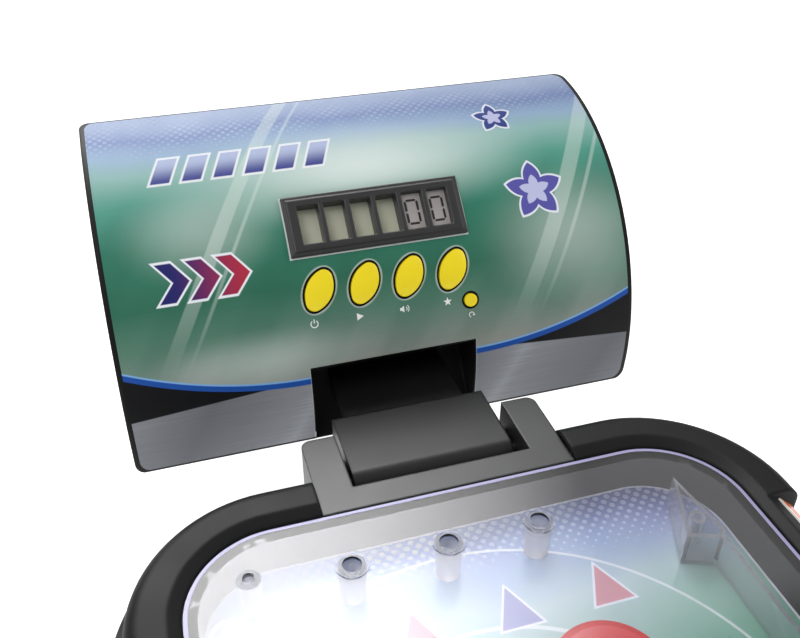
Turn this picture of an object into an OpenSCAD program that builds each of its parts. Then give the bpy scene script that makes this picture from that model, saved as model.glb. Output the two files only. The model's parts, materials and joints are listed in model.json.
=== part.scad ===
// Tabletop pinball game: sloping tray with a clear cover, flippers, plunger and a folding score head.
// Lengths are millimetres. The tray is drawn level and then tipped; the feet stand on z = 0.

/* [Tray] */
// Width of the clear cover
cover_w = 260; // [240:1:280]
// Length of the clear cover
cover_l = 380; // [370:1:390]
// Radius of the cover's rear corners
cover_r = 42.5; // [38:0.5:46]
// Thickness of the cover sheet
cover_t = 2; // [1.5:0.1:2.4]
// Depth of the playfield print below the cover's face
field_depth = 20.7; // [19.5:0.1:22]
// Height of the housing below the cover's face
body_h = 50; // [48:0.5:54]
// Rim width behind the cover
rim_rear = 24; // [22:0.5:27]
// Rim width in front of the cover
rim_front = 40; // [37:0.5:44]
// Rounding of the rim's outer shoulder
bead_r = 8; // [6:0.5:12]
// Spread of the flanks outside the cover
flank = 33; // [30:0.5:36]
// Wall thickness of the housing
wall = 2.5; // [2:0.1:3]
// Slope of the playfield in degrees
tilt = 6; // [4:0.1:7]
// Height of the front feet
foot_h = 12; // [8:0.5:18]

/* [Hinge] */
// Width of the hinge bracket
bracket_w = 126; // [120:1:132]
// Length of the hinge bracket behind the cover
bracket_l = 51.5; // [48:0.5:55]
// Width of the pocket between the bracket's ears
pocket_w = 90.3; // [88:0.1:93]
// Width of the neck
neck_w = 84; // [80:0.5:86]
// Radius of the neck's knuckle
knuckle_r = 10; // [9:0.1:11]
// Radius of the trunnions
trunnion_r = 4; // [3.5:0.1:4.5]

/* [Score head] */
// Width of the head
head_w = 290; // [280:1:300]
// Height of the head along its back
head_h = 194; // [190:1:198]
// Radius of the curved front
front_r = 130.4; // [128:0.1:133]
// Width of the front label
label_w = 282.5; // [276:0.5:288]
// Thickness of the label
label_t = 0.4; // [0.3:0.05:0.6]
// Width of the cut-out for the neck
notch_w = 93.5; // [90:0.5:97]
// Width of the display bezel
bezel_w = 98; // [94:0.5:102]
// Height of the display bezel
bezel_h = 33; // [31:0.5:35]
// Length of an oval button
oval_l = 23; // [21:0.5:24]
// Width of an oval button
oval_w = 14; // [13:0.5:15]
// Diameter of the small round button
dot_d = 7.3; // [6.5:0.1:8]
// Travel of the head's buttons
press = 1.2; // [0.8:0.1:1.3]

/* [Play parts] */
// Diameter of the ball
ball_d = 14; // [12:0.5:15]
// Diameter of a bumper cap
cap_d = 47; // [42:0.5:50]
// Length of a flipper blade from pivot to tip
blade_l = 44; // [40:0.5:46]
// Travel of the flipper buttons
push = 8; // [6:0.5:8.5]
// Diameter of the flipper buttons
push_d = 18; // [16:0.5:19]
// Radius of the plunger rod
rod_r = 3; // [2.5:0.1:3.5]
// Diameter of the plunger knob
knob_d = 22; // [18:0.5:26]

/* [Hidden] */
$fn = 64;
fine = 96;
gap = 0.3;
seat = 0.1;
run = 0.08;
eps = 0.02;
big = 600;

// Tray levels and outlines
half = cover_w / 2;
well_in = 5.8;
well_t = wall;
print_z = -field_depth;
board_t = 1.2;
deck_z = print_z - board_t;
deck_t = 2.5;
base_t = 2.6;
base_in = 1;
base_top = -body_h;
base_bot = base_top - base_t;
lip_w = 6;
ridge_z = 4;
step_z = 0.8;
bead_end = -50;
skirt_y = -12;
skirt_r = 30;
lap = 2;
bead_steps = 6;
front_r_cover = 20;
front_y = -cover_l - rim_front;
out_r_front = 30;
// Falling steps of the flanks and the front: distance in from the outer face, height
flank_steps = [[0, -24], [5, -15.5], [13, -6.5], [22, 1], [28, ridge_z]];
front_steps = [[0, -5.5], [4, -0.5], [14, ridge_z - 1], [26, ridge_z]];
trim_t = 0.8;
trim_in = 0.06;
trim_y = bead_end - 1;
trim_l = cover_l + trim_y - 4;
boss_r = 4;
rib_w = 18;
screw_r = 1.6;
screw_l = 12;
screw_head_r = 3.5;
screw_head_t = 1.4;
screw_play = 0.05;
post_r = [5.4, 6.4];
post_bore_r = [3.2, 4.3];
post_ring_r = 7.5;
post_bore_l = 8;
pin_bore_l = 2.5;
pin_post_r = [4.6, 5.4];
pin_post_bore_r = 2.6;
leg_in = 2;
leg_x = half - leg_in;
leg_r = [15, 20];
foot_in = 12;
foot_x = half - foot_in;
foot_r = [11, 13];
pad_t = 3;
pad_in = 1.5;

// Hinge
axis_y = 31.6;
axis_z = -15.75;
bracket_z = 0.6;
bracket_h = 36.6;
strip_l = 14.4;
ear_r = 5;
bracket_floor = 4;
bracket_edge = 0.8;
neck_hole_l = 7.5;
pocket_end = 44.8;
pocket_r = 2.6;
neck_l = 71;
tongue_w = 66;
arm_drop = 2;
arm_z = axis_z - arm_drop;
arm_t = knuckle_r + arm_drop;
tongue_top = -10;
trunnion_in = 7;
trunnion_l = (pocket_w - neck_w) / 2 + trunnion_in;

// Head
head_lean = 50.75;
hang_y = 161.03;
hang_z = -92.11;
head_axis_y = hang_y + head_h / 2 * cos(head_lean);
head_axis_z = hang_z + head_h / 2 * sin(head_lean);
label_a = 45.55;
glue_t = 0.05;
label_r = front_r + glue_t;
back_w = 82;
back_t = 2.5;
head_t = 2.5;
head_r = 5;
notch_h = 37.9;
notch_v = notch_h - head_h / 2;
pocket_t = 2;
bezel_a = 6.8;
row_a = -8.45;
dot_a = -16.5;
dot_x = 45.5;
row_x = [-37.2, -12.4, 12.4, 37.2];
oval_turn = 61;
ring = 1.4;
pcb_a = -10;
pcb_z = -18.4;
pcb_t = 1.6;
pcb_w = 124;
pcb_h = 44;
stem_r = 3;
flange_t = 1.5;
flange_top = -head_t - gap;
stem_gap = 5.4;
stem_end = pcb_z + stem_gap;
crown = 2.2;
crown_r = 38;
crown_lift = 0.4;
oval_tip = 0.32;
flange_out = 1.2;
dot_top = 1.4;
dot_stem_r = 2;
hole_reach = 8;
boss_in = 1;
standoff = [56, 16];
standoff_r = 3;
bezel_lip = 1.5;
bezel_sink = 1.2;
bezel_up = 2;
bezel_step = 2.2;
bezel_rise = 0.9;
glass_in = 2.5;
cell_count = 6;
lit_cells = [4, 5];
tile_t = 4;
label_corner = 4;
label_gap = 0.6;
pcb_hole_r = 1.5;
pcb_hole_in = 3;
tact_w = 6;
tact_h = 3;
tact_r = 1.7;
tact_up = 0.7;
tact_v = 3.2;
dot_tact_v = -12.6;
dot_tact_drop = 0.6;
cell_p = 14.3;
cell_w = 11.5;
cell_h = 21;
glass_z = -6.6;
glass_t = 1.5;
bat_x = -84;
bat_v = 22;
bat_r = 7;
bat_l = 50;
bat_p = 15.4;
bat_w = back_w + bat_r + 1;
bat_nub = [2.6, 1.5];
bay = [bat_l + 14, 2 * bat_p + 2 * bat_r + 8];
bay_t = 2;
clip_t = 6;
clip_out = 3.9;
clip_w = 2 * bat_p + 10;
grip_l = 24;
grip_w = 1.2;
grip_t = 0.8;
grip_p = 3;
grip_v = -22;
spk_x = 84;
spk_v = 38;
spk_r = 25;
spk_rim = 3;
spk_cone = [23, 15, 12];
spk_bore = [20, 8, 7];
spk_h = 18;
slot_p = 7;
slot_w = 3;
slot_l = 30;
slot_fall = 2;

// Play parts
mid_x = -11;
piv_x = 48;
piv_in = 62;
piv_y = piv_in - cover_l;
swing = 45;
crank_r = push / (2 * sin(swing / 2));
peg_r = 2;
shaft_r = 3;
rod_y = piv_y - crank_r;
rod_z = -36;
rod_t = 3;
rod_w = 7;
crank_gap = 0.8;
crank_z = rod_z + rod_t / 2 + crank_gap;
crank_t = 3;
crank_w = 7;
shaft_in = 10;
peg_out = 0.4;
peg_play = 0.25;
yoke_l = 14;
yoke_w = 18;
yoke_slot = 8.4;
push_flange = 2;
push_flange_t = 2.4;
push_proud = 4;
hub_r = 8;
tip_r = 5;
blade_gap = 0.6;
blade_z = print_z + blade_gap;
blade_t = 13;
rest_a = -28;
flank_x = half + flank;
cap_out = flank_x + push + push_proud;
flange_x = flank_x - wall - seat;
rib_out = 8;
rib_x = half + rib_out;
lane_out = 25;
lane_x = half - lane_out;
lane_t = 2;
guide_gap = 0.4;
guide_top = -cover_t - guide_gap;
guide_floor = 1.5;
lane_y = -58;
lane_in = 50;
lane_end = lane_in - cover_l;
// Gate at the lane's top, its hollow and its pin, from the lane wall's corner
gate = [[-1, 36], [-15, 1], [0, -5], [lane_t, -4], [4, 0]];
gate_in = [[-1.6, 31], [-12, 2.4], [-0.5, -2.4], [1.8, 1]];
gate_pin = [-4, 10];
gate_pin_r = 4;
elbow_in = 18;
elbow = [elbow_in - half, -50];
elbow_r = 9;
elbow_cut = 5;
// Slingshot wedge, outlane rail and pins of one side, from the middle between the flipper pivots
sling_h = 12;
sling = [[82, 84], [90, 84], [90, 42], [60, 24], [56, 27]];
outlane = [[106, 58], [106, 32], [58, 6], [57, 9], [103, 35], [103, 58]];
sling_pins = [[86, 79], [85, 45], [64, 31]];
sling_pin_r = 2.5;
sling_pin_h = 2;
plunge_in = 15;
plunge_x = half - plunge_in;
plunge_z = print_z + ball_d / 2;
tip_in = 30;
tip_y = tip_in - cover_l;
collar_out = 1;
collar_y = -cover_l - collar_out;
pull = 25;
knob_gap = 12;
knob_y = front_y - knob_gap;

knob_neck = 8;
knob_neck_r = [5, 7];
knob_head = 9;
knob_l = knob_neck + knob_head;
bush_r = 8;
bush_l = 5;
collar_r = 6.4;
collar_t = 3;
coil_r = 5.2;
wire_r = 0.7;
coil_steps = 14;
coil_sides = 6;
coil_turns = 5;
skirt_d = 34;
core_r = 11;
core_h = 11;
band_r = 2;
cap_h = [2.4, 1.4, 1];
cap_in = 7;
bumpers = [[28, -105], [-56, -105], [-14, -165]];
posts = [[-57.4, -30.4], [-13.4, -30.4], [30, -30.4]];
pin_post = [-101, -24];
fix_in = 30;
fix_x = half - fix_in;
fix_end = [60, 80];
fix_y = [-fix_end[0], -cover_l / 2, fix_end[1] - cover_l];
fix_front_in = 8;
fix_front = [60, fix_front_in - cover_l];
base_fix = concat([for (s = [-1, 1]) for (y = fix_y) [s * fix_x, y]],
    [for (s = [-1, 1]) [s * fix_front[0], fix_front[1]]]);
neck_fix_up = 1.63;
neck_fix_z = arm_z + neck_fix_up - head_axis_z;
neck_fix = [20,
    neck_fix_z * sin(head_lean) - (back_w + pocket_t - neck_fix_z * cos(head_lean)) / tan(head_lean)];
head_screw_l = 10;
head_fix = [[-132, -70], [132, -70], [-132, 78], [132, 78]];

// Standing frame: the box around the part is centred over the origin
foot_back = 10;
foot_y = foot_back - cover_l;
leg_y = -48;
near_y = (knob_y - knob_l) * cos(tilt) - (plunge_z + knob_d / 2) * sin(tilt);
top_y = head_axis_y + head_h / 2 * cos(head_lean) - (back_w - back_t) * sin(head_lean);
top_z = head_axis_z + head_h / 2 * sin(head_lean) + (back_w - back_t) * cos(head_lean);
far_y = top_y * cos(tilt) - top_z * sin(tilt);
tray_y = -(near_y + far_y) / 2;
tray_z = foot_h - foot_y * sin(tilt) - base_bot * cos(tilt);

// Frames
module on_tray() {
    translate([0, tray_y, tray_z])
        rotate([tilt, 0, 0])
            children();
}

module on_head() {
    on_tray()
        translate([0, head_axis_y, head_axis_z])
            rotate([head_lean, 0, 0])
                children();
}

module on_front(x, a) {
    on_head()
        rotate([-a, 0, 0])
            translate([x, 0, front_r])
                children();
}

module below(z) {
    translate([-big, -big, z - big])
        cube([2 * big, 2 * big, big]);
}

// Rounded plan outline with its own rear and front corner radii
module plan(hw, yb, yf, rb, rf) {
    translate([-hw, yf + rf])
        square([2 * hw, yb - rb - yf - rf]);
    translate([-hw + rb, yb - rb - eps])
        square([2 * (hw - rb), rb + eps]);
    translate([-hw + rf, yf])
        square([2 * (hw - rf), rf + eps]);
    for (s = [-1, 1]) {
        translate([s * (hw - rb), yb - rb])
            circle(r = rb, $fn = fine);
        translate([s * (hw - rf), yf + rf])
            circle(r = rf);
    }
}

// Plan outline running parallel to the cover's edge, u outside it
module cover_plan(u) {
    plan(half + u, u, -cover_l - u, cover_r + u, front_r_cover + u);
}

// Profile steps set in from a face at p, running in direction d, lowered by a skin of i
function fall(steps, p, d, i) = [for (q = steps) [p + d * q[0], q[1] - (q[0] > 0 ? i : 0)]];

function turned(list) = [for (k = [len(list) - 1 : -1 : 0]) list[k]];

// Sweeps a section round the cover's edge; the section's x runs outward from that edge
module around_cover() {
    side = cover_l - cover_r - front_r_cover;
    for (s = [0, 1])
        mirror([s, 0, 0]) {
            translate([half - cover_r, -cover_r, 0])
                rotate_extrude(angle = 90, $fn = fine)
                    translate([cover_r, 0])
                        children();
            translate([half - front_r_cover, front_r_cover - cover_l, 0])
                rotate(-90)
                    rotate_extrude(angle = 90, $fn = fine)
                        translate([front_r_cover, 0])
                            children();
            translate([half, -cover_r, 0])
                rotate([90, 0, 0])
                    linear_extrude(side)
                        children();
        }
    translate([cover_r - half, 0, 0])
        rotate([90, 0, 90])
            linear_extrude(2 * (half - cover_r))
                children();
    translate([half - front_r_cover, -cover_l, 0])
        rotate([90, 0, -90])
            linear_extrude(2 * (half - front_r_cover))
                children();
}

// Section of the rear rim with its rounded shoulder, i inside its skin
module bead_section(i) {
    mid = [rim_rear - bead_r, ridge_z - bead_r];
    polygon(concat([[-lap, base_top - i], [rim_rear - i, base_top - i]],
        [for (a = [0 : 90 / bead_steps : 90]) mid + (bead_r - i) * [cos(a), sin(a)]],
        [[-lap, ridge_z - i]]));
}

module skirt_plan(i) {
    plan(flank_x - i, skirt_y - i, front_y + i, skirt_r - i, out_r_front - i);
}

// Outer form of the housing, i inside its skin: middle, rounded rear rim and wider flanks
module body_form(i) {
    ox = flank_x - i;
    translate([0, 0, base_top - i])
        linear_extrude(ridge_z - base_top)
            cover_plan(0);
    intersection() {
        around_cover()
            bead_section(i);
        translate([-big, bead_end + i, -big])
            cube(2 * big);
    }
    intersection() {
        translate([0, 0, base_top - eps * i])
            linear_extrude(body_h + 10)
                skirt_plan(i);
        translate([0, rim_rear, 0])
            rotate([90, 0, 0])
                linear_extrude(big)
                    polygon(concat([[-ox, base_top - i]], fall(flank_steps, -ox, 1, i),
                        turned(fall(flank_steps, ox, -1, i)), [[ox, base_top - i]]));
        translate([-big / 2, 0, 0])
            rotate([90, 0, 90])
                linear_extrude(big)
                    polygon(concat([[front_y + i, base_top - i]], fall(front_steps, front_y + i, 1, i),
                        [[rim_rear, ridge_z - i], [rim_rear, base_top - i]]));
    }
}

module housing() {
    color([0.05, 0.05, 0.055])
        on_tray()
            difference() {
                union() {
                    difference() {
                        body_form(0);
                        body_form(wall);
                    }
                    // Well walls, deck and ledges
                    intersection() {
                        body_form(0);
                        translate([0, 0, deck_z - deck_t])
                            linear_extrude(body_h)
                                cover_plan(-well_in + well_t);
                    }
                    intersection() {
                        body_form(0);
                        translate([0, 0, -cover_t - wall])
                            linear_extrude(body_h)
                                cover_plan(lip_w);
                    }
                    // Bracket shelf
                    translate([-bracket_w / 2 - wall, -well_in, bracket_z - bracket_h - wall])
                        cube([bracket_w + 2 * wall, rim_rear + well_in, wall - seat]);
                    // Screw bosses and button ribs
                    for (p = base_fix)
                        translate([p[0], p[1], base_top])
                            cylinder(r = boss_r, h = deck_z - deck_t - base_top + eps);
                    for (s = [-1, 1]) {
                        translate([s * rib_x - wall / 2, rod_y - rib_w / 2, base_top])
                            cube([wall, rib_w, deck_z - base_top]);
                        translate([s * (half - well_in + rib_x) / 2 - (rib_x - half + well_in) / 2,
                            rod_y - rib_w / 2, deck_z - deck_t])
                            cube([rib_x - half + well_in, rib_w, deck_t]);
                    }
                }
                // Well, cover recess and stepped edge
                translate([0, 0, deck_z])
                    linear_extrude(body_h)
                        cover_plan(-well_in);
                translate([0, 0, -cover_t])
                    linear_extrude(body_h)
                        cover_plan(gap);
                around_cover()
                    polygon([[-lap, step_z], [0, step_z], [lip_w, ridge_z], [lip_w, body_h], [-lap, body_h]]);
                // Rear notch for the bracket
                translate([-bracket_w / 2 - gap, gap, bracket_z - bracket_h - seat])
                    cube([bracket_w + 2 * gap, big, big]);
                // Flipper shafts, button bores, plunger bores and screw holes
                for (s = [-1, 1]) {
                    translate([mid_x + s * piv_x, piv_y, -body_h])
                        cylinder(r = shaft_r + run, h = body_h);
                    translate([s * (rib_x + wall), rod_y, rod_z])
                        rotate([0, s * 90, 0])
                            cylinder(d = push_d + 2 * gap, h = big);
                    translate([s * rib_x - wall, rod_y - rod_w / 2 - gap, rod_z - rod_t / 2 - gap])
                        cube([2 * wall, rod_w + 2 * gap, rod_t + 2 * gap]);
                }
                translate([plunge_x, tip_y, plunge_z])
                    rotate([90, 0, 0])
                        cylinder(r = rod_r + run, h = big);
                for (p = base_fix)
                    translate([p[0], p[1], base_top - eps])
                        cylinder(r = screw_r + screw_play, h = screw_l);
            }
}

module base_plate() {
    color([0.08, 0.08, 0.085])
        on_tray()
            difference() {
                translate([0, 0, base_bot])
                    linear_extrude(base_t)
                        union() {
                            skirt_plan(base_in);
                            cover_plan(rim_rear - base_in);
                        }
                for (p = base_fix) {
                    translate([p[0], p[1], base_bot - eps])
                        cylinder(r = screw_head_r + gap, h = screw_head_t + gap);
                    translate([p[0], p[1], base_bot])
                        cylinder(r = screw_r + gap, h = base_t + eps);
                }
            }
}

module base_screws() {
    color([0.6, 0.6, 0.62])
        on_tray()
            for (p = base_fix)
                difference() {
                    union() {
                        translate([p[0], p[1], base_bot + 2 * seat])
                            cylinder(r = screw_head_r, h = screw_head_t);
                        translate([p[0], p[1], base_bot + 2 * seat])
                            cylinder(r = screw_r, h = screw_l);
                    }
                    translate([p[0], p[1], base_bot + 2 * seat - eps])
                        cylinder(r = screw_head_t, h = screw_head_t * 0.6, $fn = 4);
                }
}

module playfield_board() {
    color([0.45, 0.66, 0.62])
        on_tray()
            difference() {
                translate([0, 0, deck_z])
                    linear_extrude(board_t)
                        cover_plan(-well_in - seat);
                for (s = [-1, 1])
                    translate([mid_x + s * piv_x, piv_y, deck_z - eps])
                        cylinder(r = shaft_r + 1, h = board_t + 2 * eps);
            }
}

module clear_cover() {
    post_h = field_depth - cover_t - seat;
    color([0.85, 0.88, 0.95, 0.3])
        on_tray()
            difference() {
                union() {
                    translate([0, 0, -cover_t])
                        linear_extrude(cover_t)
                            cover_plan(0);
                    for (p = posts) {
                        translate([p[0], p[1], -eps])
                            cylinder(r = post_ring_r, h = step_z);
                        translate([p[0], p[1], -cover_t - post_h])
                            cylinder(r1 = post_r[0], r2 = post_r[1], h = post_h + eps);
                    }
                    translate([pin_post[0], pin_post[1], -cover_t - post_h])
                        cylinder(r1 = pin_post_r[0], r2 = pin_post_r[1], h = post_h + eps);
                }
                for (p = posts)
                    translate([p[0], p[1], -post_bore_l])
                        cylinder(r1 = post_bore_r[0], r2 = post_bore_r[1], h = post_bore_l + step_z + eps);
                translate([pin_post[0], pin_post[1], -pin_bore_l])
                    cylinder(r = pin_post_bore_r, h = pin_bore_l + eps);
            }
}

module lane_guide() {
    h = guide_top - print_z;
    color([0.85, 0.9, 0.97, 0.4])
        on_tray()
            translate([0, 0, print_z]) {
                difference() {
                    linear_extrude(h)
                        polygon([for (p = gate) p + [lane_x, lane_y]]);
                    translate([0, 0, guide_floor])
                        linear_extrude(h)
                            polygon([for (p = gate_in) p + [lane_x, lane_y]]);
                }
                translate([lane_x + gate_pin[0], lane_y + gate_pin[1], 0])
                    difference() {
                        cylinder(r = gate_pin_r, h = h);
                        translate([0, 0, gate_pin_r])
                            cylinder(r = gate_pin_r / 2, h = h);
                    }
                translate([lane_x, lane_end, 0])
                    cube([lane_t, lane_y + gate[3][1] - lane_end, h]);
            }
}

module corner_guide() {
    h = guide_top - print_z;
    color([0.85, 0.9, 0.97, 0.4])
        on_tray()
            translate([elbow[0], elbow[1], print_z])
                difference() {
                    cylinder(r = elbow_r, h = h);
                    translate([0, 0, guide_floor])
                        cylinder(r = elbow_r - guide_floor, h = h);
                    translate([-2 * elbow_r, -elbow_cut - 2 * elbow_r, -eps])
                        cube([4 * elbow_r, 2 * elbow_r, h + 2 * eps]);
                }
}

module sling_guides() {
    color([0.93, 0.75, 0.08])
        on_tray()
            translate([mid_x, piv_y, print_z])
                for (s = [0, 1])
                    mirror([s, 0, 0]) {
                        linear_extrude(sling_h)
                            polygon(sling);
                        linear_extrude(sling_h - sling_pin_h)
                            polygon(outlane);
                        for (p = sling_pins)
                            translate([p[0], p[1], sling_h - eps])
                                cylinder(r = sling_pin_r, h = sling_pin_h);
                    }
}

module bumper_bodies() {
    color([0.9, 0.9, 0.88])
        on_tray()
            for (p = bumpers)
                translate([p[0], p[1], print_z]) {
                    cylinder(r = skirt_d / 2, h = guide_floor);
                    cylinder(r = core_r, h = core_h);
                    translate([0, 0, core_h / 2])
                        rotate_extrude($fn = fine)
                            translate([core_r + band_r / 4, 0])
                                circle(r = band_r, $fn = 24);
                }
}

module bumper_caps() {
    color([0.8, 0.07, 0.08])
        on_tray()
            for (p = bumpers)
                translate([p[0], p[1], print_z + core_h]) {
                    cylinder(d = cap_d, h = cap_h[0], $fn = fine);
                    translate([0, 0, cap_h[0]])
                        cylinder(d1 = cap_d, d2 = cap_d - cap_in, h = cap_h[1], $fn = fine);
                    translate([0, 0, cap_h[0] + cap_h[1] - eps])
                        cylinder(d1 = cap_d - cap_in, d2 = cap_d / 3, h = cap_h[2], $fn = fine);
                }
}

module bracket() {
    hw = bracket_w / 2;
    bot = bracket_z - bracket_h;
    color([0.13, 0.13, 0.135])
        on_tray()
            difference() {
                translate([0, 0, bot])
                    linear_extrude(bracket_h)
                        plan(hw, bracket_l, gap + seat, ear_r, bracket_edge);
                translate([0, 0, bot + bracket_floor])
                    linear_extrude(bracket_h)
                        plan(pocket_w / 2, pocket_end, strip_l, pocket_r, pocket_r);
                translate([-pocket_w / 2, strip_l, arm_z - seat])
                    cube([pocket_w, big, bracket_h]);
                for (s = [-1, 1])
                    translate([s * (pocket_w / 2 - 1), axis_y, axis_z])
                        rotate([0, s * 90, 0])
                            cylinder(r = trunnion_r + run, h = trunnion_l + 1);
            }
}

// Printed strip lying on one face of the flank
module side_trim(s) {
    low = [flank_x - flank_steps[2][0], flank_steps[2][1]];
    high = [flank_x - flank_steps[3][0], flank_steps[3][1]];
    run_up = high - low;
    lift = trim_t * [run_up[1], -run_up[0]] / norm(run_up);
    foot = low + trim_in * run_up;
    head = high - trim_in * run_up;
    on_tray()
        translate([0, trim_y, 0])
            rotate([90, 0, 0])
                linear_extrude(trim_l)
                    mirror([s > 0 ? 0 : 1, 0])
                        polygon([foot, foot + lift, head + lift, head]);
}

module side_trim_left() {
    color([0.85, 0.28, 0.1])
        side_trim(-1);
}

module side_trim_right() {
    color([0.85, 0.28, 0.1])
        side_trim(1);
}

// Leg standing upright under the sloping base, cut to the base's slope
module stand(x, y, r) {
    difference() {
        translate([x, tray_y + y, pad_t])
            cylinder(r1 = r[0], r2 = r[1], h = tray_z);
        on_tray()
            translate([-big, -big, base_bot])
                cube([2 * big, 2 * big, big]);
    }
}

module rear_leg_left() {
    color([0.06, 0.06, 0.065])
        stand(-leg_x, leg_y, leg_r);
}

module rear_leg_right() {
    color([0.06, 0.06, 0.065])
        stand(leg_x, leg_y, leg_r);
}

module front_feet() {
    color([0.06, 0.06, 0.065])
        for (s = [-1, 1])
            stand(s * foot_x, foot_y, foot_r);
}

module foot_pads() {
    color([0.15, 0.15, 0.15])
        for (s = [-1, 1]) {
            translate([s * leg_x, tray_y + leg_y, 0])
                cylinder(r = leg_r[0] - pad_in, h = pad_t);
            translate([s * foot_x, tray_y + foot_y, 0])
                cylinder(r = foot_r[0] - pad_in, h = pad_t);
        }
}

module neck() {
    wall_w = back_w + pocket_t;
    color([0.14, 0.14, 0.145])
        difference() {
            on_tray() {
                translate([-neck_w / 2, axis_y, axis_z])
                    rotate([0, 90, 0])
                        cylinder(r = knuckle_r, h = neck_w, $fn = fine);
                translate([-neck_w / 2, axis_y, arm_z])
                    cube([neck_w, neck_l - axis_y, arm_t]);
                translate([-tongue_w / 2, neck_l - 1, arm_z])
                    cube([tongue_w, big, tongue_top - arm_z]);
                for (s = [-1, 1])
                    translate([s * (neck_w / 2 - 1), axis_y, axis_z])
                        rotate([0, s * 90, 0])
                            cylinder(r = trunnion_r, h = trunnion_l);
            }
            on_head() {
                translate([-big, -big, wall_w + eps - big])
                    cube([2 * big, 2 * big, big]);
                for (s = [-1, 1])
                    translate([s * neck_fix[0], neck_fix[1], wall_w - 1])
                        cylinder(r = screw_r + screw_play, h = neck_hole_l);
            }
        }
}

// Closed outer form of the head, i inside its skin
module head_form(i) {
    intersection() {
        rotate([0, 90, 0])
            cylinder(r = front_r - i, h = big, center = true, $fn = 2 * fine);
        translate([0, 0, back_w - i])
            linear_extrude(big)
                plan(head_w / 2 - i, head_h / 2 - i, -head_h / 2 + i, head_r, head_r);
    }
}

module oval(l, w) {
    r = w * oval_tip;
    a = l / 2;
    b = w / 2;
    rb = (pow(a - r, 2) + b * b - r * r) / (2 * (b - r));
    k = (a - r) * rb / (rb - r);
    intersection() {
        translate([0, b - rb])
            circle(r = rb, $fn = 2 * fine);
        translate([0, rb - b])
            circle(r = rb, $fn = 2 * fine);
        square([2 * k, w], center = true);
    }
    for (s = [-1, 1])
        translate([s * (a - r), 0])
            circle(r = r);
}

// Openings in the front: display, buttons; grow widens every edge
module front_holes(grow, d0, d1) {
    on_front(0, bezel_a)
        translate([-bezel_w / 2 + bezel_lip - grow, -bezel_h / 2 + bezel_lip - grow, d0])
            cube([bezel_w - 2 * (bezel_lip - grow), bezel_h - 2 * (bezel_lip - grow), d1 - d0]);
    for (x = row_x)
        on_front(x, row_a)
            translate([0, 0, d0])
                rotate(oval_turn)
                    linear_extrude(d1 - d0)
                        oval(oval_l + 2 * grow, oval_w + 2 * grow);
    on_front(dot_x, dot_a)
        translate([0, 0, d0])
            cylinder(d = dot_d + 2 * grow, h = d1 - d0);
}

module head_front() {
    color([0.06, 0.06, 0.065])
        difference() {
            union() {
                on_head() {
                    difference() {
                        head_form(0);
                        head_form(head_t);
                    }
                    intersection() {
                        head_form(0);
                        translate([-notch_w / 2 - pocket_t, -head_h / 2, back_w])
                            cube([notch_w + 2 * pocket_t, notch_v + pocket_t + head_h / 2, big]);
                    }
                    for (p = head_fix)
                        intersection() {
                            head_form(boss_in);
                            translate([p[0], p[1], back_w])
                                cylinder(r = boss_r, h = big);
                        }
                }
                for (sx = [-1, 1])
                    for (sy = [-1, 1])
                        on_front(sx * standoff[0], pcb_a)
                            translate([0, sy * standoff[1], pcb_z])
                                cylinder(r = standoff_r, h = -pcb_z - head_t + 0.5);
            }
            on_head() {
                translate([-notch_w / 2, -big, back_w + pocket_t])
                    cube([notch_w, notch_v + big, big]);
                for (p = head_fix)
                    translate([p[0], p[1], back_w - eps])
                        cylinder(r = screw_r + screw_play, h = head_screw_l);
                for (s = [-1, 1])
                    translate([s * neck_fix[0], neck_fix[1], back_w - 1])
                        cylinder(r = screw_r + gap, h = 2 * pocket_t);
            }
            front_holes(gap, -hole_reach, hole_reach);
        }
}

module head_back() {
    d = bay;
    color([0.07, 0.07, 0.075])
        on_head()
            difference() {
                union() {
                    translate([0, 0, back_w - back_t])
                        linear_extrude(back_t)
                            plan(head_w / 2, head_h / 2, -head_h / 2, head_r, head_r);
                    translate([bat_x - d[0] / 2 - bay_t, bat_v - d[1] / 2 - bay_t, back_w - eps])
                        cube([d[0] + 2 * bay_t, d[1] + 2 * bay_t, 2 * (bat_r + bay_t)]);
                }
                translate([bat_x - d[0] / 2, bat_v - d[1] / 2, back_w - back_t - eps])
                    cube([d[0], d[1], back_t + 2 * bat_r + bay_t]);
                for (p = head_fix)
                    translate([p[0], p[1], back_w - back_t - eps])
                        cylinder(r = screw_r + gap, h = 2 * back_t);
                for (s = [-1, 1])
                    translate([s * neck_fix[0], neck_fix[1], back_w - back_t - eps])
                        cylinder(r = screw_r + gap, h = 2 * back_t);
                for (k = [-2 : 2])
                    translate([spk_x + slot_p * k - slot_w / 2, spk_v - slot_l / 2 + slot_fall * abs(k),
                        back_w - back_t - eps])
                        cube([slot_w, slot_l - 2 * slot_fall * abs(k), 2 * back_t]);
            }
}

module screw_set(pts) {
    on_head()
        for (p = pts)
            difference() {
                union() {
                    translate([p[0], p[1], back_w - back_t - screw_head_t])
                        cylinder(r = screw_head_r, h = screw_head_t);
                    translate([p[0], p[1], back_w - back_t - screw_head_t / 2])
                        cylinder(r = screw_r, h = head_screw_l);
                }
                translate([p[0], p[1], back_w - back_t - screw_head_t - eps])
                    cylinder(r = screw_head_t, h = screw_head_t * 0.6, $fn = 4);
            }
}

module head_screws() {
    color([0.6, 0.6, 0.62])
        screw_set(head_fix);
}

module neck_screws() {
    color([0.6, 0.6, 0.62])
        screw_set([[-neck_fix[0], neck_fix[1]], neck_fix]);
}

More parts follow.
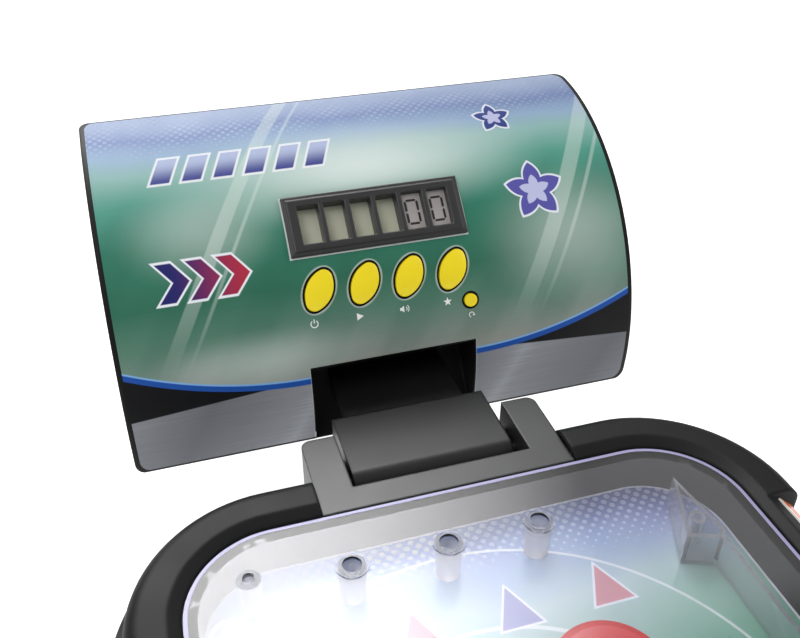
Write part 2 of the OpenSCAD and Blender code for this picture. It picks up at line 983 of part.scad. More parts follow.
module front_label() {
    color([0.2, 0.6, 0.62])
        difference() {
            on_head()
                difference() {
                    intersection() {
                        rotate([0, 90, 0])
                            cylinder(r = label_r + label_t, h = big, center = true, $fn = 2 * fine);
                        translate([0, 0, back_w])
                            linear_extrude(big)
                                plan(label_w / 2, front_r * sin(label_a), -front_r * sin(label_a),
                                    label_corner, label_corner);
                    }
                    rotate([0, 90, 0])
                        cylinder(r = label_r, h = 2 * big, center = true, $fn = 2 * fine);
                    translate([-notch_w / 2 - label_gap, -big, 0])
                        cube([notch_w + 2 * label_gap, notch_v + label_gap + big, big]);
                }
            front_holes(ring, -hole_reach, hole_reach);
        }
}

module lcd_bezel() {
    color([0.1, 0.1, 0.105])
        difference() {
            on_front(0, bezel_a)
                union() {
                    translate([-bezel_w / 2, -bezel_h / 2, -bezel_sink])
                        cube([bezel_w, bezel_h, bezel_sink + bezel_up]);
                    translate([-bezel_w / 2 + bezel_step, -bezel_h / 2 + bezel_step, 0])
                        cube([bezel_w - 2 * bezel_step, bezel_h - 2 * bezel_step, bezel_up + bezel_rise]);
                }
            on_head()
                rotate([0, 90, 0])
                    cylinder(r = label_r + label_t + eps, h = big, center = true, $fn = 2 * fine);
            on_front(0, bezel_a)
                lcd_cells();
        }
    color([0.1, 0.1, 0.105])
        on_front(0, bezel_a)
            difference() {
                translate([-bezel_w / 2 + bezel_lip, -bezel_h / 2 + bezel_lip, glass_z + glass_t])
                    cube([bezel_w - 2 * bezel_lip, bezel_h - 2 * bezel_lip, bezel_lip - glass_z - glass_t]);
                lcd_cells();
            }
}

module lcd_cells() {
    for (k = [0 : cell_count - 1])
        translate([(k - (cell_count - 1) / 2) * cell_p - cell_w / 2, -cell_h / 2, -2 * hole_reach])
            cube([cell_w, cell_h, 4 * hole_reach]);
}

module lcd_panel() {
    color([0.55, 0.56, 0.47])
        on_front(0, bezel_a)
            translate([-bezel_w / 2 + glass_in, -bezel_h / 2 + glass_in, glass_z])
                cube([bezel_w - 2 * glass_in, bezel_h - 2 * glass_in, glass_t]);
}

module digit_tiles() {
    color([0.62, 0.6, 0.66])
        on_front(0, bezel_a)
            for (k = lit_cells)
                translate([(k - (cell_count - 1) / 2) * cell_p - cell_w / 2 + seat, -cell_h / 2 + seat,
                    glass_z + glass_t])
                    cube([cell_w - 2 * seat, cell_h - 2 * seat, tile_t]);
}

module circuit_board() {
    color([0.1, 0.35, 0.16])
        on_front(0, pcb_a)
            difference() {
                translate([-pcb_w / 2, -pcb_h / 2, pcb_z - pcb_t])
                    cube([pcb_w, pcb_h, pcb_t]);
                for (s = [-1, 1])
                    translate([s * (pcb_w / 2 - pcb_hole_in), 0, pcb_z - pcb_t - eps])
                        cylinder(r = pcb_hole_r, h = pcb_t + 2 * eps);
            }
}

module tact_switch(h) {
    translate([-tact_w / 2, -tact_w / 2, 0])
        cube([tact_w, tact_w, h]);
    cylinder(r = tact_r, h = h + tact_up);
}

module tact_switches() {
    color([0.2, 0.2, 0.2])
        on_front(0, pcb_a) {
            for (x = row_x)
                translate([x, tact_v, pcb_z])
                    tact_switch(tact_h);
            translate([dot_x, dot_tact_v, pcb_z])
                tact_switch(tact_h - dot_tact_drop);
        }
}

module speaker() {
    color([0.16, 0.16, 0.17])
        on_head()
            translate([spk_x, spk_v, back_w])
                difference() {
                    union() {
                        cylinder(r = spk_r, h = spk_rim);
                        cylinder(r1 = spk_cone[0], r2 = spk_cone[1], h = spk_cone[2]);
                        cylinder(r = spk_cone[1], h = spk_h);
                    }
                    translate([0, 0, -eps])
                        cylinder(r1 = spk_bore[0], r2 = spk_bore[1], h = spk_bore[2]);
                }
}

module batteries() {
    color([0.75, 0.6, 0.2])
        on_head()
            for (k = [-1 : 1])
                translate([bat_x - bat_l / 2, bat_v + k * bat_p, bat_w])
                    rotate([0, 90, 0]) {
                        cylinder(r = bat_r, h = bat_l - bat_nub[1]);
                        cylinder(r = bat_nub[0], h = bat_l);
                    }
}

module battery_contacts() {
    color([0.75, 0.75, 0.76])
        on_head()
            for (s = [-1, 1])
                translate([bat_x + s * (bat_l / 2 + clip_out) - clip_t / 2, bat_v - clip_w / 2,
                    bat_w - bat_r])
                    cube([clip_t, clip_w, 2 * bat_r]);
}

module battery_door() {
    d = bay - [2 * gap, 2 * gap];
    color([0.08, 0.08, 0.085])
        on_head()
            difference() {
                translate([bat_x - d[0] / 2, bat_v - d[1] / 2, back_w - back_t])
                    cube([d[0], d[1], back_t]);
                for (k = [-1 : 1])
                    translate([bat_x - grip_l / 2, bat_v + grip_v + grip_p * k, back_w - back_t - eps])
                        cube([grip_l, grip_w, grip_t]);
            }
}

module oval_button(k) {
    color([0.98, 0.82, 0.05])
        on_front(row_x[k], row_a) {
            intersection() {
                rotate(oval_turn)
                    translate([0, 0, flange_top - seat])
                        linear_extrude(crown + crown_lift - flange_top + 2 * seat)
                            oval(oval_l, oval_w);
                translate([0, 0, crown + crown_lift - crown_r])
                    sphere(r = crown_r, $fn = 2 * fine);
            }
            rotate(oval_turn)
                translate([0, 0, flange_top - flange_t])
                    linear_extrude(flange_t)
                        oval(oval_l + 2 * flange_out, oval_w + 2 * flange_out);
            translate([0, 0, stem_end])
                cylinder(r = stem_r, h = flange_top - stem_end);
        }
}

module power_button() {
    oval_button(0);
}

module play_button() {
    oval_button(1);
}

module sound_button() {
    oval_button(2);
}

module score_button() {
    oval_button(3);
}

module reset_button() {
    color([0.98, 0.82, 0.05])
        on_front(dot_x, dot_a) {
            translate([0, 0, flange_top - seat])
                cylinder(d = dot_d, h = dot_top - flange_top);
            translate([0, 0, flange_top - flange_t])
                cylinder(d = dot_d + 2 * flange_out, h = flange_t);
            translate([0, 0, stem_end])
                cylinder(r = dot_stem_r, h = flange_top - stem_end);
        }
}

// Shaft with crank and peg under the deck; s mirrors it for the right side
module flipper_shaft(s) {
    color([0.7, 0.7, 0.72])
        on_tray()
            translate([mid_x + s * piv_x, piv_y, 0])
                rotate(s * swing / 2) {
                    translate([0, 0, crank_z])
                        cylinder(r = shaft_r, h = blade_z + shaft_in - crank_z);
                    translate([0, 0, crank_z])
                        cylinder(r = 2 * shaft_r, h = crank_t);
                    translate([-crank_w / 2, -crank_r, crank_z])
                        cube([crank_w, crank_r, crank_t]);
                    translate([0, -crank_r, crank_z])
                        cylinder(r = crank_w / 2, h = crank_t);
                    translate([0, -crank_r, rod_z - rod_t / 2 - peg_out])
                        cylinder(r = peg_r, h = crank_z - rod_z + rod_t / 2 + peg_out + crank_t / 5);
                }
}

module flipper_blade(s) {
    reach = blade_l - tip_r;
    hub_in = hub_r - eps;
    tip_in = tip_r - eps;
    lean = asin((hub_r - tip_r) / reach);
    color([0.95, 0.8, 0.06])
        on_tray()
            translate([mid_x + s * piv_x, piv_y, blade_z])
                mirror([s > 0 ? 1 : 0, 0, 0])
                    rotate(rest_a)
                        difference() {
                            union() {
                                cylinder(r = hub_r, h = blade_t);
                                translate([reach, 0, 0])
                                    cylinder(r = tip_r, h = blade_t);
                                linear_extrude(blade_t)
                                    polygon([[hub_in * sin(lean), hub_in * cos(lean)],
                                        [reach + tip_in * sin(lean), tip_in * cos(lean)],
                                        [reach + tip_in * sin(lean), -tip_in * cos(lean)],
                                        [hub_in * sin(lean), -hub_in * cos(lean)]]);
                            }
                            translate([0, 0, -eps])
                                cylinder(r = shaft_r + eps, h = shaft_in + 2 * eps);
                        }
}

module flipper_shaft_left() {
    flipper_shaft(-1);
}

module flipper_shaft_right() {
    flipper_shaft(1);
}

module flipper_blade_left() {
    flipper_blade(-1);
}

module flipper_blade_right() {
    flipper_blade(1);
}

// Side button with its flange and the slotted rod that drives the crank
module flipper_button(s) {
    x0 = mid_x * s + piv_x + push / 2 - yoke_l / 2;
    color([0.95, 0.8, 0.06])
        on_tray()
            mirror([s > 0 ? 0 : 1, 0, 0])
                difference() {
                    union() {
                        translate([flange_x - push_flange_t, rod_y, rod_z])
                            rotate([0, 90, 0])
                                cylinder(d = push_d + 2 * push_flange, h = push_flange_t);
                        translate([flange_x - push_flange_t / 2, rod_y, rod_z])
                            rotate([0, 90, 0])
                                cylinder(d = push_d, h = cap_out - flange_x + push_flange_t / 2);
                        translate([x0, rod_y - rod_w / 2, rod_z - rod_t / 2])
                            cube([flange_x - push_flange_t / 2 - x0, rod_w, rod_t]);
                        translate([x0, rod_y - yoke_w / 2, rod_z - rod_t / 2])
                            cube([yoke_l, yoke_w, rod_t]);
                    }
                    translate([x0 + yoke_l / 2 - peg_r - peg_play, rod_y - yoke_slot / 2, rod_z - rod_t])
                        cube([2 * (peg_r + peg_play), yoke_slot, 2 * rod_t]);
                }
}

module flipper_button_left() {
    flipper_button(-1);
}

module flipper_button_right() {
    flipper_button(1);
}

// Wound spring: a tube of coil_sides flats swept along a helix of coil_steps points a turn
module coil(r, w, l, turns) {
    n = coil_steps * turns;
    rise = l - 2 * w;
    pitch_a = atan(rise / (turns * 2 * PI * r));
    points = [for (i = [0 : n]) for (k = [0 : coil_sides - 1])
        let (a = 360 * i / coil_steps,
            b = 360 * k / coil_sides,
            d = r + w * cos(b),
            q = w * sin(b) * sin(pitch_a))
        [d * cos(a) + q * sin(a), d * sin(a) - q * cos(a), w + rise * i / n + w * sin(b) * cos(pitch_a)]];
    sides = [for (i = [0 : n - 1]) for (k = [0 : coil_sides - 1])
        let (j = (k + 1) % coil_sides)
        [i * coil_sides + k, (i + 1) * coil_sides + k, (i + 1) * coil_sides + j, i * coil_sides + j]];
    ends = [[for (k = [0 : coil_sides - 1]) k], [for (k = [coil_sides - 1 : -1 : 0]) n * coil_sides + k]];
    polyhedron(points, concat(sides, ends));
}

module button_spring(s) {
    l = flange_x - push_flange_t - rib_x - wall / 2;
    color([0.75, 0.75, 0.77])
        on_tray()
            translate([s * (rib_x + wall / 2 + seat), rod_y, rod_z])
                rotate([0, s * 90, 0])
                    coil(coil_r, wire_r, l - 2 * seat, coil_turns);
}

module button_spring_left() {
    button_spring(-1);
}

module button_spring_right() {
    button_spring(1);
}

module plunger_bush() {
    color([0.12, 0.12, 0.125])
        on_tray()
            translate([plunge_x, front_y - seat, plunge_z])
                rotate([90, 0, 0])
                    difference() {
                        cylinder(r = bush_r, h = bush_l);
                        translate([0, 0, -eps])
                            cylinder(r = rod_r + run, h = 2 * bush_l);
                    }
}

module plunger_rod() {
    color([0.75, 0.75, 0.77])
        on_tray()
            translate([plunge_x, tip_y, plunge_z])
                rotate([90, 0, 0]) {
                    cylinder(r = rod_r, h = tip_y - knob_y + knob_neck);
                    translate([0, 0, tip_y - collar_y - collar_t])
                        cylinder(r = collar_r, h = collar_t);
                }
}

module plunger_knob() {
    color([0.95, 0.8, 0.06])
        on_tray()
            translate([plunge_x, knob_y, plunge_z])
                rotate([90, 0, 0])
                    difference() {
                        union() {
                            cylinder(r1 = knob_neck_r[0], r2 = knob_neck_r[1], h = knob_neck);
                            translate([0, 0, knob_neck])
                                cylinder(d = knob_d, h = knob_l - knob_neck);
                        }
                        translate([0, 0, -eps])
                            cylinder(r = rod_r + eps, h = knob_neck + seat);
                    }
}

module plunger_spring() {
    l = collar_y - front_y - wall;
    color([0.75, 0.75, 0.77])
        on_tray()
            translate([plunge_x, collar_y - seat, plunge_z])
                rotate([90, 0, 0])
                    coil(coil_r, wire_r, l - 2 * seat, coil_turns);
}

module ball() {
    color([0.8, 0.8, 0.82])
        on_tray()
            translate([plunge_x, tip_y + ball_d / 2 + seat, plunge_z + seat])
                sphere(d = ball_d);
}

housing();
base_plate();
base_screws();
playfield_board();
clear_cover();
lane_guide();
corner_guide();
sling_guides();
bumper_bodies();
bumper_caps();
bracket();
side_trim_left();
side_trim_right();
rear_leg_left();
rear_leg_right();
front_feet();
foot_pads();
neck();
head_front();
head_back();
head_screws();
neck_screws();
front_label();
lcd_bezel();
lcd_panel();
digit_tiles();
circuit_board();
tact_switches();
speaker();
batteries();
battery_contacts();
battery_door();
power_button();
play_button();
sound_button();
score_button();
reset_button();
flipper_shaft_left();
flipper_shaft_right();
flipper_blade_left();
flipper_blade_right();
flipper_button_left();
flipper_button_right();
button_spring_left();
button_spring_right();
plunger_bush();
plunger_rod();
plunger_knob();
plunger_spring();
ball();
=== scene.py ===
"""Tabletop pinball game with a folding score head: materials, prints, small detail, light and camera."""
import json
import math

import bmesh
import bpy
from mathutils import Euler, Matrix, Vector


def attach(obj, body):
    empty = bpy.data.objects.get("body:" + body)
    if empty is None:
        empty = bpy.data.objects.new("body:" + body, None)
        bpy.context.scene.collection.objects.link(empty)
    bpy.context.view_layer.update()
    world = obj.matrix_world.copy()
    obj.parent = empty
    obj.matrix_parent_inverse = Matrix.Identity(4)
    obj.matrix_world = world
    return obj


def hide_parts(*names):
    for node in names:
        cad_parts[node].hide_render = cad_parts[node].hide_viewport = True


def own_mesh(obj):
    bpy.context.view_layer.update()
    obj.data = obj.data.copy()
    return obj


MM = 0.001

# Surface detail: samples of the softened edges, and how far roughness strays from its middle.
EDGE_SAMPLES = 6
ROUGH_SPREAD = 0.06

# The tray and the score head as part.scad places them, in millimetres and degrees.
TILT = 6.0
TRAY_AT = (0.0, 118.3, 102.987)
HEAD_AT = (0.0, 222.4, -17.0)
HEAD_LEAN = 50.75
FRONT_R = 130.4
LABEL_TOP = FRONT_R + 0.45
LABEL_HALF_ANGLE = 45.55
LABEL_W, LABEL_CORNER = 282.5, 4.0
BORDER_X, BORDER_V, BORDER_LIFT = 1.0, 2.9, 0.03
COVER_W, COVER_L = 260.0, 380.0
COVER_R, COVER_FRONT_R = 42.5, 20.0
BOARD_IN = 5.85

# Display, buttons and cut-out on the curved front: x and angle from the middle of the arc.
BEZEL_ANGLE, BEZEL_W, BEZEL_H = 6.8, 98.0, 33.0
CELL_PITCH = 14.3
TILE_TOP = -1.1
ROW_ANGLE, ROW_X = -8.45, (-37.2, -12.4, 12.4, 37.2)
DOT_X = 45.5
OVAL_L, OVAL_W, OVAL_TURN, OVAL_EDGE = 23.0, 14.0, 61.0, 2.1
NOTCH_HALF, NOTCH_TOP = 46.75, 42.4

# Printed marks on the label: across and up, in millimetres.
BARS_X, BARS_S, BARS_PITCH = (-112.0, -14.0), 163.0, 16.4
ARROWS_X, ARROWS_S, ARROWS_PITCH = (-112.0, -66.0), 100.0, 15.4
LABEL_GLOWS = (((0.0, 150.0), (120.0, 36.0), 0.8), ((-92.0, 126.0), (50.0, 34.0), 0.35),
               ((112.0, 96.0), (64.0, 46.0), 0.36), ((-70.0, 52.0), (70.0, 20.0), 0.3))
LABEL_STARS = (((94.0, 122.0), 17.0, "5a58a8"), ((84.0, 174.0), 11.0, "2c3f86"))
STRIPE_S, STRIPE_CURVE, FOOT_SLOPE = 37.2, 0.00225, 0.075
STREAK_SLOPE = 0.55
STREAKS = ((45.0, 5.0), (58.0, 1.2), (-150.0, 4.0), (-139.0, 1.0))

# Printed marks on the playfield.
LANE_ARROWS = ((-80.0, -58.0), (-36.0, -58.0), (8.0, -58.0), (52.0, -58.0))
FIELD_STAR = (-14.0, -205.0)
FIELD_RINGS = (((-14.0, -140.0), 76.0, 1.0), ((-14.0, -140.0), 118.0, 0.7), ((-14.0, -330.0), 90.0, 1.0))

# Camera solved from the photograph, row frame.
CAMERA_AT = (-0.114823, -0.193532, 0.376237)
CAMERA_TURN = (61.2811, 1.5455, -17.1136)
CAMERA_LENS = 40.354

# Soft panel whose reflection lies on the clear cover.
SOFTBOX_AT = (0.25, 1.05, 1.35)
SOFTBOX_TURN = -35.0
SOFTBOX_SIZE = (2.2, 1.1, 1.0)
SOFTBOX_FADE = (-0.2, 0.33)
SOFTBOX_LEAST = 0.11
SOFTBOX_GLOW = 11.5
SOFTBOX_EDGE, SOFTBOX_SOFT = 0.4, 0.1

# Studio: floor, world light and area lamps (name, place, turn, size, power).
FLOOR_SIZE, FLOOR_Z, FLOOR_GLOW = 12.0, -0.0005, 0.8
WORLD_LIGHT = 0.42
LAMPS = (("key", (-0.9, -0.5, 1.5), (32.0, -30.0, 0.0), 0.9, 11.0),
         ("fill", (1.3, -0.2, 1.0), (10.0, 52.0, 0.0), 0.9, 5.0))

# Sheet thickness of the clear cover's top; below it the moulded skirt and posts are frosted.
FROST_Z = (-2.6, -2.2)

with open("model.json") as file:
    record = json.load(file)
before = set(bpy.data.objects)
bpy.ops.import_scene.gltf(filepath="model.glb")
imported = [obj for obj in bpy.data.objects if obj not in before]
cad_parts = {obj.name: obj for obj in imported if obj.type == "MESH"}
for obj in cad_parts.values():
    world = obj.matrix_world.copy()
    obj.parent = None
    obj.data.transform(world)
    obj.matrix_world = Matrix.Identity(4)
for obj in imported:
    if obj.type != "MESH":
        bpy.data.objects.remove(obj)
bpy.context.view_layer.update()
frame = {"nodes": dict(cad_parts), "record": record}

TRAY = Matrix.Translation(Vector(TRAY_AT) * MM) @ Matrix.Rotation(math.radians(TILT), 4, "X")
HEAD = TRAY @ Matrix.Translation(Vector(HEAD_AT) * MM) @ Matrix.Rotation(math.radians(HEAD_LEAN), 4, "X")


def on_front(x, angle, lift=0.0):
    """Frame on the head's curved front: X across, Y up the arc, Z outward; x and lift in millimetres."""
    turn = Matrix.Rotation(math.radians(-angle), 4, "X")
    return HEAD @ turn @ Matrix.Translation(Vector((x, 0.0, FRONT_R + lift)) * MM)


def arc_angle(s):
    """Angle on the front for a distance s in millimetres up the label from its lower edge."""
    return math.degrees(s / LABEL_TOP) - LABEL_HALF_ANGLE


def rgb(text):
    """Linear colour from an sRGB hex string."""
    parts = [int(text[i:i + 2], 16) / 255.0 for i in (0, 2, 4)]
    return tuple(c / 12.92 if c <= 0.04045 else ((c + 0.055) / 1.055) ** 2.4 for c in parts) + (1.0,)


class Paint:
    """A node material on one Principled shader, with short calls for the patterns that drive it."""

    def __init__(self, name, **sockets):
        self.mat = bpy.data.materials.new(name)
        self.mat.use_nodes = True
        self.tree = self.mat.node_tree
        self.shader = self.tree.nodes["Principled BSDF"]
        for key, value in sockets.items():
            self.shader.inputs[key.replace("_", " ")].default_value = value
        self.coord = self.tree.nodes.new("ShaderNodeTexCoord").outputs["Object"]

    def feed(self, socket, value):
        if isinstance(value, bpy.types.NodeSocket):
            self.tree.links.new(value, socket)
        else:
            socket.default_value = value

    def math(self, op, *values):
        node = self.tree.nodes.new("ShaderNodeMath")
        node.operation = op
        for socket, value in zip(node.inputs, values):
            self.feed(socket, value)
        return node.outputs[0]

    def vector(self, op, a, b):
        node = self.tree.nodes.new("ShaderNodeVectorMath")
        node.operation = op
        self.feed(node.inputs[0], a)
        self.feed(node.inputs[1], b)
        return node.outputs["Value" if op == "DOT_PRODUCT" else "Vector"]

    def local(self, matrix):
        """Coordinates of the surface point in the given frame, in millimetres, as three sockets."""
        from_origin = self.vector("SUBTRACT", self.coord, tuple(matrix.translation))
        axes = [matrix.to_3x3().col[i].normalized() / MM for i in range(3)]
        return [self.vector("DOT_PRODUCT", from_origin, tuple(axis)) for axis in axes]

    def join(self, x, y, z=0.0):
        node = self.tree.nodes.new("ShaderNodeCombineXYZ")
        for socket, value in zip(node.inputs, (x, y, z)):
            self.feed(socket, value)
        return node.outputs[0]

    def rise(self, value, low, high):
        """0 below low, 1 above high, smooth between."""
        node = self.tree.nodes.new("ShaderNodeMapRange")
        node.interpolation_type = "SMOOTHSTEP"
        self.feed(node.inputs["Value"], value)
        node.inputs["From Min"].default_value = low
        node.inputs["From Max"].default_value = high
        return node.outputs[0]

    def band(self, value, low, high, soft):
        """1 between low and high, with soft edges."""
        up = self.rise(value, low - soft, low + soft)
        down = self.rise(value, high - soft, high + soft)
        return self.math("SUBTRACT", up, down)

    def all_of(self, *masks):
        """Product of several masks."""
        whole = masks[0]
        for mask in masks[1:]:
            whole = self.math("MULTIPLY", whole, mask)
        return whole

    def reach(self, dx, dy):
        """Length of a flat vector."""
        squares = [self.math("MULTIPLY", d, d) for d in (dx, dy)]
        return self.math("SQRT", self.math("ADD", *squares))

    def dots(self, x, y, pitch, radius):
        """1 inside the dots of a slanted halftone grid; the radius is a share of the pitch."""
        steps = [self.math("DIVIDE", self.math(op, x, y), pitch) for op in ("ADD", "SUBTRACT")]
        u, v = [self.math("SUBTRACT", self.math("FRACT", step), 0.5) for step in steps]
        return self.rise(self.math("SUBTRACT", radius, self.reach(u, v)), 0.0, 0.08)

    def star(self, x, y, at, points, radius, depth, grow):
        """1 inside a pointed star, grown outward by grow."""
        dx, dy = self.math("SUBTRACT", x, at[0]), self.math("SUBTRACT", y, at[1])
        reach = self.reach(dx, dy)
        turn = self.math("SUBTRACT", self.math("ARCTAN2", dy, dx), math.pi / 2)
        dip = self.math("PINGPONG", self.math("MULTIPLY", turn, points / math.pi), 1.0)
        limit = self.math("MULTIPLY_ADD", dip, -radius * depth, radius + grow)
        return self.rise(self.math("SUBTRACT", limit, reach), -0.25, 0.25)

    def noise(self, at, scale, detail=3.0, rough=0.5):
        node = self.tree.nodes.new("ShaderNodeTexNoise")
        self.feed(node.inputs["Vector"], at)
        node.inputs["Scale"].default_value = scale
        node.inputs["Detail"].default_value = detail
        node.inputs["Roughness"].default_value = rough
        return node.outputs["Fac"]

    def cells(self, at, scale, feature="F1", out="Distance"):
        node = self.tree.nodes.new("ShaderNodeTexVoronoi")
        node.feature = feature
        self.feed(node.inputs["Vector"], at)
        node.inputs["Scale"].default_value = scale
        return node.outputs[out]

    def mix(self, factor, a, b):
        node = self.tree.nodes.new("ShaderNodeMix")
        node.data_type = "RGBA"
        self.feed(node.inputs[0], factor)
        self.feed(node.inputs[6], a)
        self.feed(node.inputs[7], b)
        return node.outputs[2]

    def ramp(self, value, stops):
        node = self.tree.nodes.new("ShaderNodeValToRGB")
        elements = node.color_ramp.elements
        while len(elements) < len(stops):
            elements.new(0.5)
        for element, (place, colour) in zip(elements, stops):
            element.position = place
            element.color = colour
        self.feed(node.inputs[0], value)
        return node.outputs[0]

    def colour(self, socket):
        self.feed(self.shader.inputs["Base Color"], socket)
        return self

    def mottled(self, colour, spread, scale):
        """Base colour with slow variation, as moulded plastic has."""
        dark = tuple(c * (1 - spread) for c in colour[:3]) + (1.0,)
        light = tuple(min(1.0, c * (1 + spread)) for c in colour[:3]) + (1.0,)
        return self.colour(self.mix(self.noise(self.coord, scale), dark, light))

    def grain(self, scale, depth, low, high, soften=0.0):
        """Fine grain as bump, with varied roughness; soften rounds the edges by a radius in millimetres."""
        fine = self.noise(self.coord, scale, 4.0, 0.6)
        bump = self.tree.nodes.new("ShaderNodeBump")
        bump.inputs["Strength"].default_value = 1.0
        bump.inputs["Distance"].default_value = depth * MM
        self.feed(bump.inputs["Height"], fine)
        if soften > 0.0:
            edge = self.tree.nodes.new("ShaderNodeBevel")
            edge.samples = EDGE_SAMPLES
            edge.inputs["Radius"].default_value = soften * MM
            self.feed(bump.inputs["Normal"], edge.outputs[0])
        self.feed(self.shader.inputs["Normal"], bump.outputs[0])
        patch = self.noise(self.coord, scale / 30.0, 2.0)
        self.feed(self.shader.inputs["Roughness"], self.math("MULTIPLY_ADD", patch, high - low, low))
        return self


def plastic(name, colour, rough, grain_scale=900.0, depth=0.03, spread=0.12, soften=0.0, **sockets):
    """Moulded plastic with slow colour variation and fine grain."""
    paint = Paint(name, **sockets)
    paint.mottled(rgb(colour), spread, 18.0)
    paint.grain(grain_scale, depth, rough - ROUGH_SPREAD, rough + ROUGH_SPREAD, soften)
    return paint.mat


def label_print():
    """Printed front label: blue to green wash, dots, glow, slanted bands, a stripe and a brushed foot with
    painted sheen.
    """
    paint = Paint("label_print", Specular_IOR_Level=0.15)
    x, v, w = paint.local(HEAD)
    s = paint.math("MULTIPLY_ADD", paint.math("ARCTAN2", v, w), LABEL_TOP,
                   LABEL_TOP * math.radians(LABEL_HALF_ANGLE))
    flat = paint.join(x, s)
    wave = paint.noise(flat, 0.012, 3.0)
    lifted = paint.math("MULTIPLY_ADD", wave, 26.0, paint.math("SUBTRACT", s, 13.0))
    base = paint.ramp(paint.math("DIVIDE", lifted, 210.0), [
        (0.19, rgb("979a94")), (0.26, rgb("7f9188")), (0.33, rgb("5d8473")), (0.42, rgb("35705a")),
        (0.56, rgb("37806a")), (0.68, rgb("57a08e")), (0.77, rgb("93bdb8")), (0.83, rgb("96b2cf")),
        (0.90, rgb("7487b6")), (1.0, rgb("acbad8"))])
    # Slanted bands over the green
    lean = paint.math("MULTIPLY_ADD", s, -STREAK_SLOPE, x)
    bands = paint.math("PINGPONG", paint.math("MULTIPLY", lean, 0.045), 1.0)
    green = paint.band(s, 40.0, 138.0, 16.0)
    fibre = paint.noise(paint.join(paint.math("MULTIPLY", x, 0.2), s), 0.55, 4.0, 0.7)
    shade = paint.math("MULTIPLY_ADD", fibre, 0.5, paint.math("MULTIPLY", paint.rise(bands, 0.3, 0.7), 0.5))
    base = paint.mix(paint.math("MULTIPLY", paint.math("MULTIPLY", green, shade), 0.34), base, rgb("235f4a"))
    # Glow above the display and soft patches beside it
    for at, size, amount in LABEL_GLOWS:
        dx = paint.math("DIVIDE", paint.math("SUBTRACT", x, at[0]), size[0])
        ds = paint.math("DIVIDE", paint.math("SUBTRACT", s, at[1]), size[1])
        glow = paint.math("SUBTRACT", 1.0, paint.rise(paint.reach(dx, ds), 0.0, 1.0))
        base = paint.mix(paint.math("MULTIPLY", glow, amount), base, rgb("eef7f4"))
    # Halftone dots that grow towards the top
    spots = paint.dots(x, s, 5.0, paint.math("MULTIPLY", paint.rise(s, 158.0, 196.0), 0.4))
    tint = paint.mix(paint.noise(flat, 0.05), rgb("d9e8f7"), rgb("2f62a6"))
    base = paint.mix(paint.math("MULTIPLY", spots, 0.5), base, tint)
    # Slanted light streaks, a wide one and a thin one on each side
    for at, wide in STREAKS:
        line = paint.math("MULTIPLY", paint.band(lean, at - wide, at + wide, 0.6), paint.rise(s, 44.0, 110.0))
        base = paint.mix(paint.math("MULTIPLY", line, 0.3), base, rgb("e6f4ec"))
    base = label_marks(paint, x, s, base)
    # Curved stripe, black band and brushed foot with painted sheen bands
    out = paint.math("MAXIMUM", paint.math("SUBTRACT", paint.math("ABSOLUTE", x), NOTCH_HALF), 0.0)
    curve = paint.math("MULTIPLY_ADD", paint.math("MULTIPLY", out, out), STRIPE_CURVE, STRIPE_S)
    above = paint.math("SUBTRACT", s, curve)
    foot_line = paint.math("SUBTRACT", STRIPE_S, paint.math("MULTIPLY", out, FOOT_SLOPE))
    brushed = paint.noise(paint.join(paint.math("MULTIPLY", x, 0.02), s), 0.9, 3.0)
    # Painted sheen: broad slanted bands of painted reflection across the brushed silver foot
    painted_sheen = paint.math("PINGPONG", paint.math("MULTIPLY", lean, 0.017), 1.0)
    foot = paint.ramp(paint.math("MULTIPLY_ADD", brushed, 0.3, paint.math("MULTIPLY", painted_sheen, 0.7)), [
        (0.0, rgb("64676d")), (0.45, rgb("7b7e84")), (0.75, rgb("8f9298")), (1.0, rgb("b3b7bc"))])
    below_stripe = paint.math("SUBTRACT", 1.0, paint.rise(above, -0.3, 0.3))
    below_band = paint.math("SUBTRACT", 1.0, paint.rise(paint.math("SUBTRACT", s, foot_line), -0.3, 0.3))
    base = paint.mix(below_stripe, base, rgb("0c0d10"))
    base = paint.mix(below_band, base, foot)
    base = paint.mix(paint.band(above, -3.2, 0.6, 0.3), base, rgb("1d4fa3"))
    base = paint.mix(paint.band(above, 0.0, 1.0, 0.35), base, rgb("7fb0e2"))
    base = paint.mix(outline_mask(paint, x, s), base, rgb("dfe5e1"))
    paint.colour(base)
    paint.grain(2500.0, 0.006, 0.4, 0.5)
    return paint.mat


